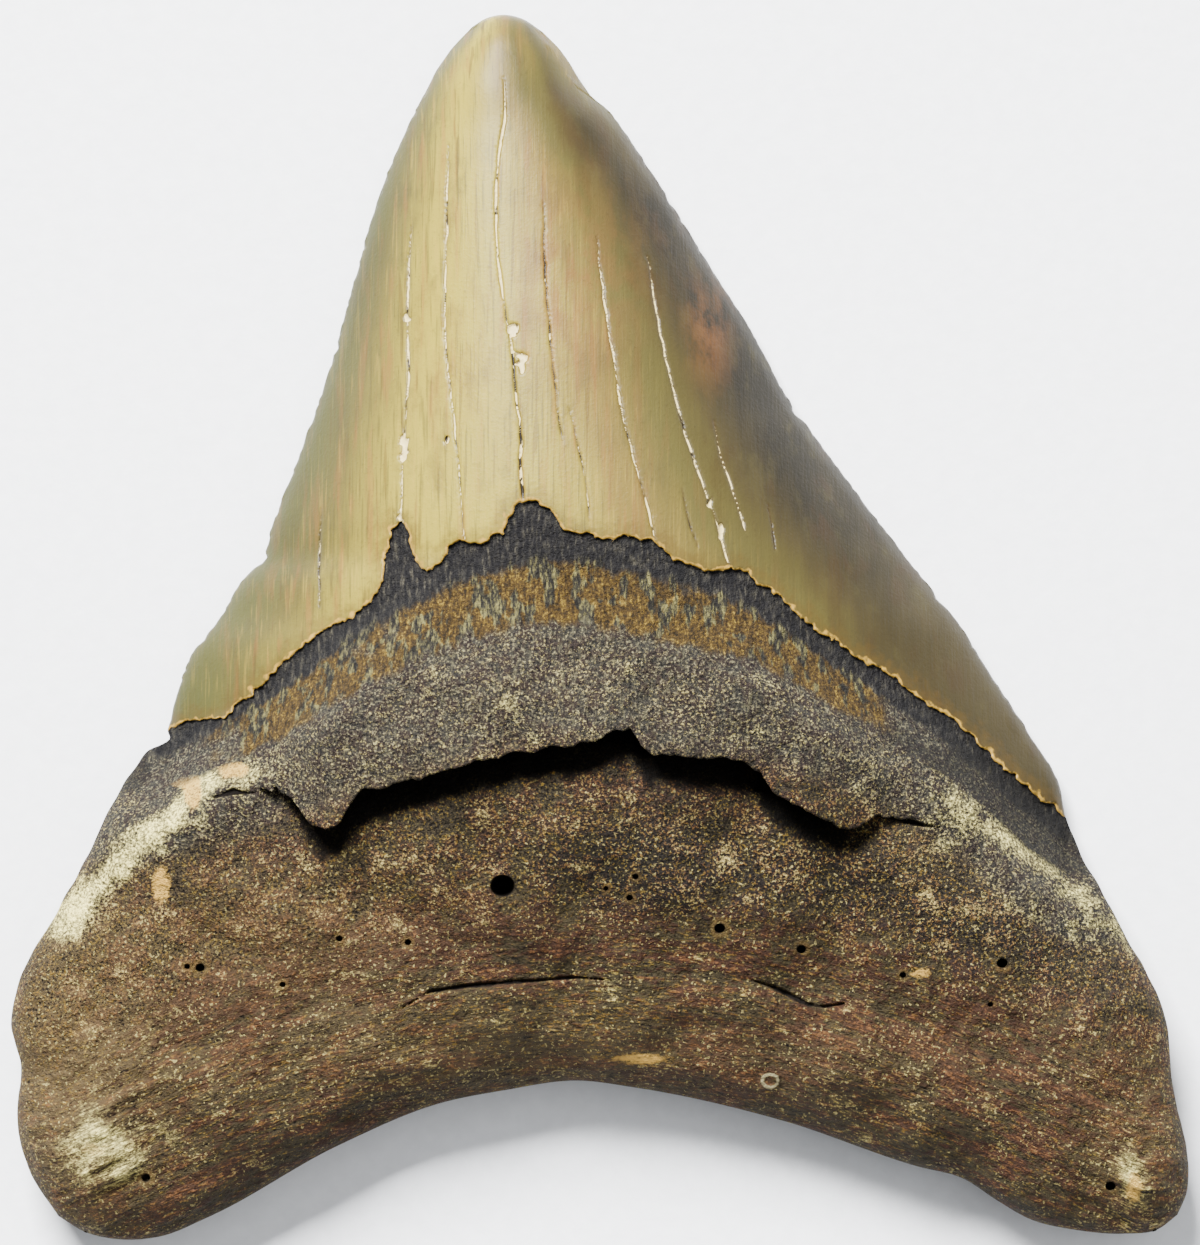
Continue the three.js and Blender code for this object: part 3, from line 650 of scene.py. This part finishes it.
# The crown's own tone with painted shade on the flank that turns from the light, eased towards the tip
# and low on the right, and a little painted shade on the tip's middle that dulls its highlight
tone_and_shade = (through(CROWN_TONE_AND_SHADE)(np.clip(w + 0.16 * near_tip, -1, 1))
        + 0.08 * smooth(40, 48, y) * smooth(-0.6, -0.1, w)
        - 0.35 * near_tip * smooth(0.5, 1, w)
        - 0.4 * at_tip * smooth(0.1, 0.5, w)
        - 0.18 * low_crown * smooth(0.2, 0.6, w))
halo = sum(np.exp(-((np.hypot(x - px, y - py) / radius - 1.6) / 0.5) ** 2)
           for px, py, radius, _ in PORES[1:])
ochre_patches = (bell(x, y, (-3, 0, 13, 6)) + 0.8 * bell(x, y, (-24, -8, 7, 5))
                 + 0.8 * bell(x, y, (16, -6, 7, 5)))
past_back = y - enamel_back(x) + 0.3 * fractal(x, y, 1.4, 71)
FIELDS = {
    "enamel": np.where(front, over_enamel_end(x, y), past_back),
    "crack": np.where(front, crack, -9),
    "white": white,
    "below": np.where(front, (y - enamel_row(x)) / (1 - 0.38 * smooth(8, 30, np.abs(x + 5))), -20),
    # Painted shadow in front of the ledge's lip, over the crevice under it
    "painted_ledge_shadow": on_front * ledge_share(x) * smooth(-4.4, -2.0, to_lip) * smooth(0.1, 0.0, to_lip),
    "slit": np.where(front, into_slit(x, y), -9),
    "patchy": on_front * np.clip(ochre_patches, 0, 1),
    "layers": y - layer(x),
    "tone_and_shade": tone_and_shade * on_front + 0.35 * (1 - on_front),
    "green": smooth(-0.55, -0.95, w),
    "dark": (zones(x, y, DARK_ZONES) + streaks(x, y, DARK_STREAKS)) * on_front,
    "cream": zones(x, y, CREAM_SPOTS) * on_front,
    "pale": (zones(x, y, PALE_ZONES) + streaks(x, y, PALE_STREAKS)) * on_front,
    "rust": zones(x, y, RUST_ZONES) * on_front,
    "ochre": zones(x, y, OCHRE_ZONES) * on_front + 0.3 * (1 - on_front),
    "low": smooth(10, 1, y - layer(x)),
    "pore": on_front * np.clip(pore_depth(x, y), 0, 1),
    "halo": on_front * halo,
    "shell": on_front * ring(x, y),
    "painted_light": zones(x, y, PAINTED_LIGHT_ZONES) * on_front,
}
for name, values in FIELDS.items():
    mesh.attributes.new(name, "FLOAT", "POINT").data.foreach_set("value", values.astype(np.float32))


# How the picture shows light: tones from 0 to 1, and the stops over middle grey that give them
TONES = [0, 0.05, 0.1, 0.2, 0.29, 0.461, 0.6, 0.7, 0.78, 0.85, 0.886, 0.93, 0.96]
STOPS = [-10, -4.2, -3.2, -2.0, -1.25, 0, 1.0, 1.8, 2.45, 3.2, 3.68, 4.4, 5.0]
LIGHT = 8.0  # brightness of a white surface that faces the light

# The picture shows bright colours paler: how much more vivid a colour is made, by its brightness
VIVID = [(60, 1.15), (100, 1.25), (150, 1.55), (190, 2.1), (215, 2.5)]


def seen(r, g, b):
    """The reflectance of what should look like this colour, given from 0 to 255."""
    stops = np.interp(np.array([r, g, b]) / 255, TONES, STOPS)
    stops = stops.mean() + joined(VIVID)((r + g + b) / 3) * (stops - stops.mean())
    return tuple(float(c) for c in np.clip(0.18 * 2 ** stops / LIGHT, 0, 0.9)) + (1.0,)


class Look:
    """A material made one node at a time. Each call gives the socket that it makes."""

    def __init__(self, name):
        self.material = bpy.data.materials.new(name)
        self.material.use_nodes = True
        self.tree = self.material.node_tree
        self.tree.nodes.clear()

    def node(self, kind, inputs, **settings):
        node = self.tree.nodes.new(kind)
        for key, value in settings.items():
            setattr(node, key, value)
        for key, value in inputs.items():
            if isinstance(value, bpy.types.NodeSocket):
                self.tree.links.new(value, node.inputs[key])
            else:
                node.inputs[key].default_value = value
        return node

    def field(self, name):
        return self.node("ShaderNodeAttribute", {}, attribute_name=name).outputs["Fac"]

    def place(self):
        """The place on the object in millimetres."""
        at = self.node("ShaderNodeTexCoord", {}).outputs["Object"]
        return self.stretched(at, (MM, MM, MM))

    def stretched(self, place, sizes):
        """The place in units of these sizes: noise on it is long where a size is large."""
        inverse = tuple(1 / size for size in sizes)
        scaled = self.node("ShaderNodeVectorMath", {0: place, 1: inverse}, operation="MULTIPLY")
        return scaled.outputs["Vector"]

    def noise(self, place, size=1.0, detail=3.0, roughness=0.55):
        inputs = {"Vector": place, "Scale": 1 / size, "Detail": detail, "Roughness": roughness}
        return self.node("ShaderNodeTexNoise", inputs).outputs["Fac"]

    def sum(self, a, b, times=1.0):
        """a + b * times"""
        inputs = {0: b, 1: times, 2: a}
        return self.node("ShaderNodeMath", inputs, operation="MULTIPLY_ADD").outputs[0]

    def times(self, a, b):
        inputs = {0: a, 1: b}
        return self.node("ShaderNodeMath", inputs, operation="MULTIPLY", use_clamp=True).outputs[0]

    def step(self, value, low, high):
        """From 0 at low to 1 at high, smoothly."""
        inputs = {"Value": value, "From Min": low, "From Max": high}
        if low > high:
            inputs = {"Value": value, "From Min": high, "From Max": low, "To Min": 1.0,
                      "To Max": 0.0}
        made = self.node("ShaderNodeMapRange", inputs, interpolation_type="SMOOTHSTEP")
        return made.outputs["Result"]

    def mix(self, share, a, b):
        """From colour a to colour b as the share goes from 0 to 1."""
        return self.node("ShaderNodeMix", {0: share, 6: a, 7: b}, data_type="RGBA").outputs[2]

    def over(self, base, colour, share, most):
        """The base with a colour laid over it where there is a share, at most this strongly."""
        return self.mix(self.times(share, most), base, colour)

    def value(self, share, a, b):
        """From number a to number b as the share goes from 0 to 1."""
        return self.node("ShaderNodeMix", {0: share, 2: a, 3: b}, data_type="FLOAT").outputs[0]

    def ramp(self, value, stops):
        node = self.node("ShaderNodeValToRGB", {"Fac": value})
        elements = node.color_ramp.elements
        for at, colour in stops[2:]:
            elements.new(at)
        for element, (at, colour) in zip(elements, stops):
            element.position = at
            element.color = colour
        return node.outputs["Color"]

    def finished(self, colour, roughness, height, distance, specular=0.5, coat=0.0):
        bump = self.node("ShaderNodeBump", {"Height": height, "Distance": distance * MM,
                                            "Strength": 1.0})
        shader = self.node("ShaderNodeBsdfPrincipled", {
            "Base Color": colour, "Roughness": roughness, "Normal": bump.outputs["Normal"],
            "Specular IOR Level": specular, "Coat Weight": coat, "Coat Roughness": 0.3})
        self.node("ShaderNodeOutputMaterial", {"Surface": shader.outputs["BSDF"]})
        return self.material


class Fossil(Look):
    """The look of the tooth: enamel, collar and root, each from noise steered by the fields."""

    def __init__(self):
        super().__init__("fossil")
        place = self.place()
        self.at = place
        self.enamel = self.field("enamel")
        self.below = self.field("below")
        self.layered = self.along_layers()
        # Streaks that run down the enamel, and its clouds and freckles
        self.down_streaks = self.noise(self.stretched(place, (0.9, 16, 3)), detail=4)
        self.fine_streaks = self.noise(self.stretched(place, (0.22, 7, 2)), detail=2)
        self.clouds = self.noise(place, 7, 3)
        self.freckles = self.noise(place, 0.3, 2)
        # Grain on four scales, the same for the collar and the root
        self.grain = self.noise(place, 0.24, 3, 0.7)
        self.upright = self.noise(self.stretched(place, (0.3, 1.2, 1)), detail=5, roughness=0.7)
        self.hue = self.noise(place, 1.1, 5, 0.7)
        self.blots = self.noise(place, 2.6, 4, 0.6)
        # Grains, light or dark, that lie in the growth layers towards the root's base
        fibres = self.noise(self.stretched(self.layered, (0.75, 0.2, 0.5)), detail=3, roughness=0.7)
        self.flow = self.noise(self.stretched(self.layered, (5, 1.1, 2)), detail=6, roughness=0.7)
        self.low = self.field("low")
        laid = self.sum(self.times(fibres, 0.65), self.grain, 0.35)
        patches = self.value(self.low, self.sum(self.blots, -0.5, 1.0), self.sum(self.flow, -0.5, 1.0))
        self.light = self.sum(self.value(self.low, self.grain, laid), patches, 0.35)
        # Where the root and the collar are dark
        self.cloudy = self.sum(self.blots, self.hue, 1.0)
        self.darkness = self.step(self.sum(self.field("dark"), self.cloudy, 1.6), 1.9, 2.6)

    def along_layers(self):
        """The place with y measured from the growth layer that runs there."""
        parts = self.node("ShaderNodeSeparateXYZ", {0: self.at}).outputs
        made = self.node("ShaderNodeCombineXYZ", {0: parts[0], 1: self.field("layers"), 2: parts[2]})
        return made.outputs[0]

    def crown(self):
        """The enamel: cream in the middle, olive and brown to the right, partly its colour and partly
        painted shade, with faint streaks.
        """
        tone_and_shade = self.sum(self.field("tone_and_shade"), self.sum(self.clouds, self.down_streaks, 1.0), 0.16)
        crown = self.ramp(self.sum(tone_and_shade, -0.16, 1.0), [
            (0.0, seen(202, 198, 148)), (0.25, seen(180, 170, 120)), (0.5, seen(152, 146, 100)),
            (0.75, seen(124, 114, 78)), (1.0, seen(66, 58, 36))])
        crown = self.over(crown, seen(134, 138, 92), self.field("green"), 0.75)
        lit = self.step(self.field("tone_and_shade"), 0.7, 0.1)
        dark_line = self.step(self.fine_streaks, 0.54, 0.68)
        pale_line = self.step(self.fine_streaks, 0.44, 0.32)
        crown = self.over(crown, seen(150, 142, 96), dark_line, self.times(lit, 0.5))
        crown = self.over(crown, seen(208, 202, 162), pale_line, self.times(lit, 0.3))
        threads = self.noise(self.stretched(self.at, (0.5, 11, 3)), detail=1)
        threads = self.step(threads, 0.66, 0.72)
        crown = self.over(crown, seen(146, 122, 78), threads, self.times(lit, 0.45))
        mottling = self.noise(self.stretched(self.at, (2.4, 5, 3)), detail=5, roughness=0.65)
        crown = self.over(crown, seen(140, 134, 96), self.step(mottling, 0.5, 0.68), 0.35)
        warm = self.step(self.noise(self.stretched(self.at, (3, 12, 3)), detail=3), 0.52, 0.66)
        crown = self.over(crown, seen(116, 92, 58), warm, self.times(self.field("tone_and_shade"), 0.45))
        wide_line = self.step(self.down_streaks, 0.52, 0.68)
        crown = self.over(crown, seen(194, 168, 124), wide_line, self.times(lit, 0.3))
        rust = self.times(self.field("rust"), 0.6)
        crown = self.over(crown, seen(176, 148, 104), self.step(mottling, 0.38, 0.58), rust)
        return self.over(crown, seen(112, 98, 66), self.step(self.freckles, 0.6, 0.72), 0.22)

    def rim(self, crown):
        """The end of the enamel: a thin worn cream rim with an ochre stain above it."""
        rim_noise = self.noise(self.at, 0.8, 3)
        stain = self.step(self.sum(self.enamel, rim_noise, 2.5), 2.9, 1.3)
        crown = self.over(crown, seen(148, 128, 68), stain, 0.5)
        worn = self.step(self.sum(self.enamel, rim_noise, 0.8), 0.72, 0.5)
        return self.mix(worn, crown, seen(206, 197, 156))

    def cracked(self, crown):
        """The cracks: filled with white, and painted dark as shade in the open groove where that has
        fallen out.
        """
        crack = self.field("crack")
        beads = self.noise(self.stretched(self.at, (0.6, 1.4, 1)), detail=2)
        filled = self.step(self.sum(self.field("white"), beads, -3.0), -1.05, -0.9)
        # White filling, or painted shade of the open crack where the white has fallen out
        white_or_shade = self.mix(filled, seen(84, 72, 56), seen(232, 230, 222))
        crown = self.over(crown, seen(124, 102, 68), self.step(crack, -0.16, 0.0), 0.45)
        return self.mix(self.step(crack, -0.035, 0.015), crown, white_or_shade)

    def grey(self):
        """The dark grey of the ledge, with black and pale grains."""
        grey = self.mix(self.step(self.hue, 0.44, 0.56), seen(108, 105, 98), seen(100, 86, 80))
        grey = self.mix(self.step(self.grain, 0.46, 0.34), grey, seen(30, 27, 28))
        grey = self.over(grey, seen(200, 198, 186), self.step(self.grain, 0.53, 0.66), 0.9)
        return self.over(grey, seen(182, 180, 166), self.step(self.upright, 0.55, 0.66), 0.5)

    def collar(self, grey):
        """The collar: charcoal, then ochre clumps between grey threads, then dark grey."""
        charcoal = self.ramp(self.upright, [
            (0.4, seen(50, 49, 52)), (0.5, seen(74, 72, 72)), (0.6, seen(112, 109, 102)),
            (0.68, seen(156, 153, 142))])
        clump = self.noise(self.stretched(self.at, (1.2, 3.2, 2)), detail=3)
        ochre = self.ramp(self.sum(self.times(self.grain, 0.5), self.upright, 0.5), [
            (0.4, seen(76, 64, 44)), (0.48, seen(122, 102, 60)), (0.55, seen(152, 134, 84)),
            (0.64, seen(196, 186, 140))])
        thread = self.ramp(self.upright, [
            (0.4, seen(58, 55, 50)), (0.5, seen(106, 103, 90)), (0.62, seen(186, 183, 158))])
        ochre = self.mix(self.step(clump, 0.43, 0.5), thread, ochre)
        into_grey = self.step(self.sum(self.below, self.blots, 2.4), -1.6, -3.0)
        collar = self.mix(into_grey, charcoal, grey)
        band = self.times(self.step(self.sum(self.below, clump, 3.6), -0.2, -1.2),
                          self.step(self.sum(self.below, clump, 3.4), -6.4, -5.2))
        patches = self.step(self.sum(self.field("patchy"), self.blots, 0.8), 0.5, 0.75)
        collar = self.mix(self.times(band, patches), collar, ochre)
        return self.over(collar, seen(46, 43, 40), self.darkness, 0.6)

    def root(self, grey):
        """The root: red, olive and grey by turns, with fine grains that lie in layers below."""
        light = self.light
        painted_light = self.field("painted_light")
        tint = self.value(self.low, self.sum(self.times(self.hue, 0.4), self.blots, 0.6),
                          self.sum(self.times(self.flow, 0.7), self.hue, 0.3))
        redness = self.sum(self.sum(tint, self.field("rust"), 0.09), self.field("ochre"), -0.09)
        root = self.mix(self.step(redness, 0.46, 0.54), seen(116, 106, 78), seen(112, 80, 62))
        root = self.over(root, seen(66, 62, 60), self.darkness, 0.85)
        root = self.over(root, seen(104, 98, 88), self.step(self.below, -32, -18), 0.5)
        # Painted light on the parts of the root that face the light
        root = self.over(root, seen(166, 154, 128), painted_light, 0.6)
        # Dark pits, light grains, red spots, golden grains and pale sparkles
        root = self.mix(self.step(light, 0.46, 0.35), root, seen(38, 29, 23))
        glint = self.mix(self.step(redness, 0.42, 0.58), seen(192, 182, 132), seen(178, 154, 122))
        root = self.over(root, glint, self.step(light, 0.52, 0.65), 0.9)
        red_spots = self.noise(self.stretched(self.layered, (1.6, 0.6, 1)), detail=4)
        red_spots = self.step(red_spots, 0.58, 0.66)
        root = self.over(root, seen(98, 58, 44), red_spots, self.times(self.low, 0.6))
        gold = self.times(self.step(self.sum(light, self.field("ochre"), 0.1), 0.6, 0.72),
                          self.step(redness, 0.54, 0.46))
        root = self.over(root, seen(176, 150, 84), gold, 0.8)
        root = self.over(root, grey, self.step(self.sum(self.below, self.blots, 5), -17, -13), 0.9)
        where = self.sum(self.sum(self.blots, painted_light, 0.3), self.field("dark"), 0.2)
        sparkle = self.times(self.step(self.freckles, 0.6, 0.68), self.step(where, 0.44, 0.6))
        return self.over(root, seen(210, 207, 190), sparkle, 0.85)

    def marked(self, root):
        """The root's white streaks, cream spots, pale rings round the pores and small shell."""
        light = self.light
        pale = self.sum(self.field("pale"), self.sum(self.blots, light, 0.9), 1.5)
        white = self.ramp(light, [
            (0.32, seen(140, 135, 122)), (0.46, seen(216, 214, 200)), (0.62, seen(242, 241, 232))])
        root = self.over(root, white, self.step(pale, 1.6, 2.5), 0.92)
        spots = self.sum(self.field("cream"), self.sum(self.hue, light, 0.8), 0.8)
        cream = self.mix(self.step(light, 0.5, 0.3), seen(224, 218, 194), seen(178, 168, 136))
        root = self.over(root, cream, self.step(spots, 1.1, 1.5), 0.8)
        rings = self.times(self.step(self.blots, 0.4, 0.5), 0.6)
        root = self.over(root, seen(166, 152, 110), self.field("halo"), rings)
        shell = self.step(self.sum(self.field("shell"), self.hue, 1.6), 1.3, 1.7)
        return self.over(root, seen(204, 202, 190), shell, 0.9)

    def hollows(self, colour):
        """Painted shade in the hollows: the shadow in the crevice under the ledge, and dark slits and
        pores.
        """
        # Painted shadow of the ledge, near black
        painted_ledge_shadow = self.step(self.sum(self.field("painted_ledge_shadow"), self.cloudy, 0.9), 1.2, 1.6)
        colour = self.over(colour, seen(18, 14, 12), painted_ledge_shadow, 0.95)
        # Painted shade in the slits and the pores
        colour = self.mix(self.step(self.field("slit"), -0.06, 0.06), colour, seen(38, 29, 23))
        return self.mix(self.field("pore"), colour, seen(16, 12, 10))

    def whole(self):
        """The finished material."""
        grey = self.grey()
        on_root = self.step(self.sum(self.below, self.blots, 2.5), -6.2, -7.6)
        bare = self.hollows(self.mix(on_root, self.collar(grey), self.marked(self.root(grey))))
        on_enamel = self.step(self.enamel, -0.02, 0.02)
        colour = self.mix(on_enamel, bare, self.cracked(self.rim(self.crown())))
        rough_height = self.sum(self.sum(self.times(self.hue, 0.8), self.light, 0.3), self.blots, 0.5)
        smooth_height = self.sum(self.times(self.fine_streaks, 0.03), self.freckles, 0.03)
        height = self.value(on_enamel, rough_height, smooth_height)
        gloss = self.value(on_enamel, 0.75, self.sum(0.32, self.clouds, 0.2))
        return self.finished(colour, gloss, height, distance=1.0, specular=0.08,
                             coat=self.times(on_enamel, 0.08))


mesh.materials.append(Fossil().whole())
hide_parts("tooth")
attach(tooth, "root")

# A pale sheet of paper under the tooth
FLOOR = 2.0
bpy.ops.mesh.primitive_plane_add(size=FLOOR, location=(0, 0, -0.02 * MM))
floor = bpy.context.object
floor.name = "paper"
paper = Look("paper")
fibres = paper.noise(paper.place(), 1.6, 5, 0.6)
sheet_colour = paper.mix(paper.step(fibres, 0.3, 0.7), (0.8, 0.81, 0.83, 1), (0.85, 0.86, 0.88, 1))
floor.data.materials.append(paper.finished(sheet_colour, 0.9, fibres, 0.05, 0.2))


def lamp(name, place, power, size):
    """A square lamp that shines at the tooth."""
    data = bpy.data.lights.new(name, "AREA")
    data.energy = power
    data.size = size
    made = bpy.data.objects.new(name, data)
    made.location = place
    aim = -made.location.normalized()
    made.rotation_euler = aim.to_track_quat("-Z", "Y").to_euler()
    bpy.context.scene.collection.objects.link(made)


# Soft light from above and from the upper left: place in metres, watts and size
lamp("key", (-0.35, 0.85, 0.9), 135, 0.55)
lamp("fill", (0.7, 0.2, 1.1), 8, 1.2)
world = bpy.data.worlds.new("room")
world.use_nodes = True
sky = world.node_tree.nodes["Background"].inputs
sky["Color"].default_value = (0.93, 0.96, 1.0, 1)
sky["Strength"].default_value = 0.5
bpy.context.scene.world = world

# The camera looks straight down, with the tip of the tooth at the top of the picture
PIXEL = 0.085  # the size of one of the photograph's pixels on the plane of the outline
PICTURE = 1245 * PIXEL  # height of the picture there
PICTURE_MIDDLE = 0.3  # how far the picture's middle is from the origin, towards the tip
CAMERA_HEIGHT = 1180
OUTLINE_LEVEL = 4  # height of the plane of the outline
SENSOR = 36
camera_data = bpy.data.cameras.new("camera")
camera_data.sensor_width = SENSOR
camera_data.lens = SENSOR * (CAMERA_HEIGHT - OUTLINE_LEVEL) / PICTURE
camera = bpy.data.objects.new("camera", camera_data)
camera.location = (0, PICTURE_MIDDLE * MM, CAMERA_HEIGHT * MM)
bpy.context.scene.collection.objects.link(camera)
bpy.context.scene.camera = camera
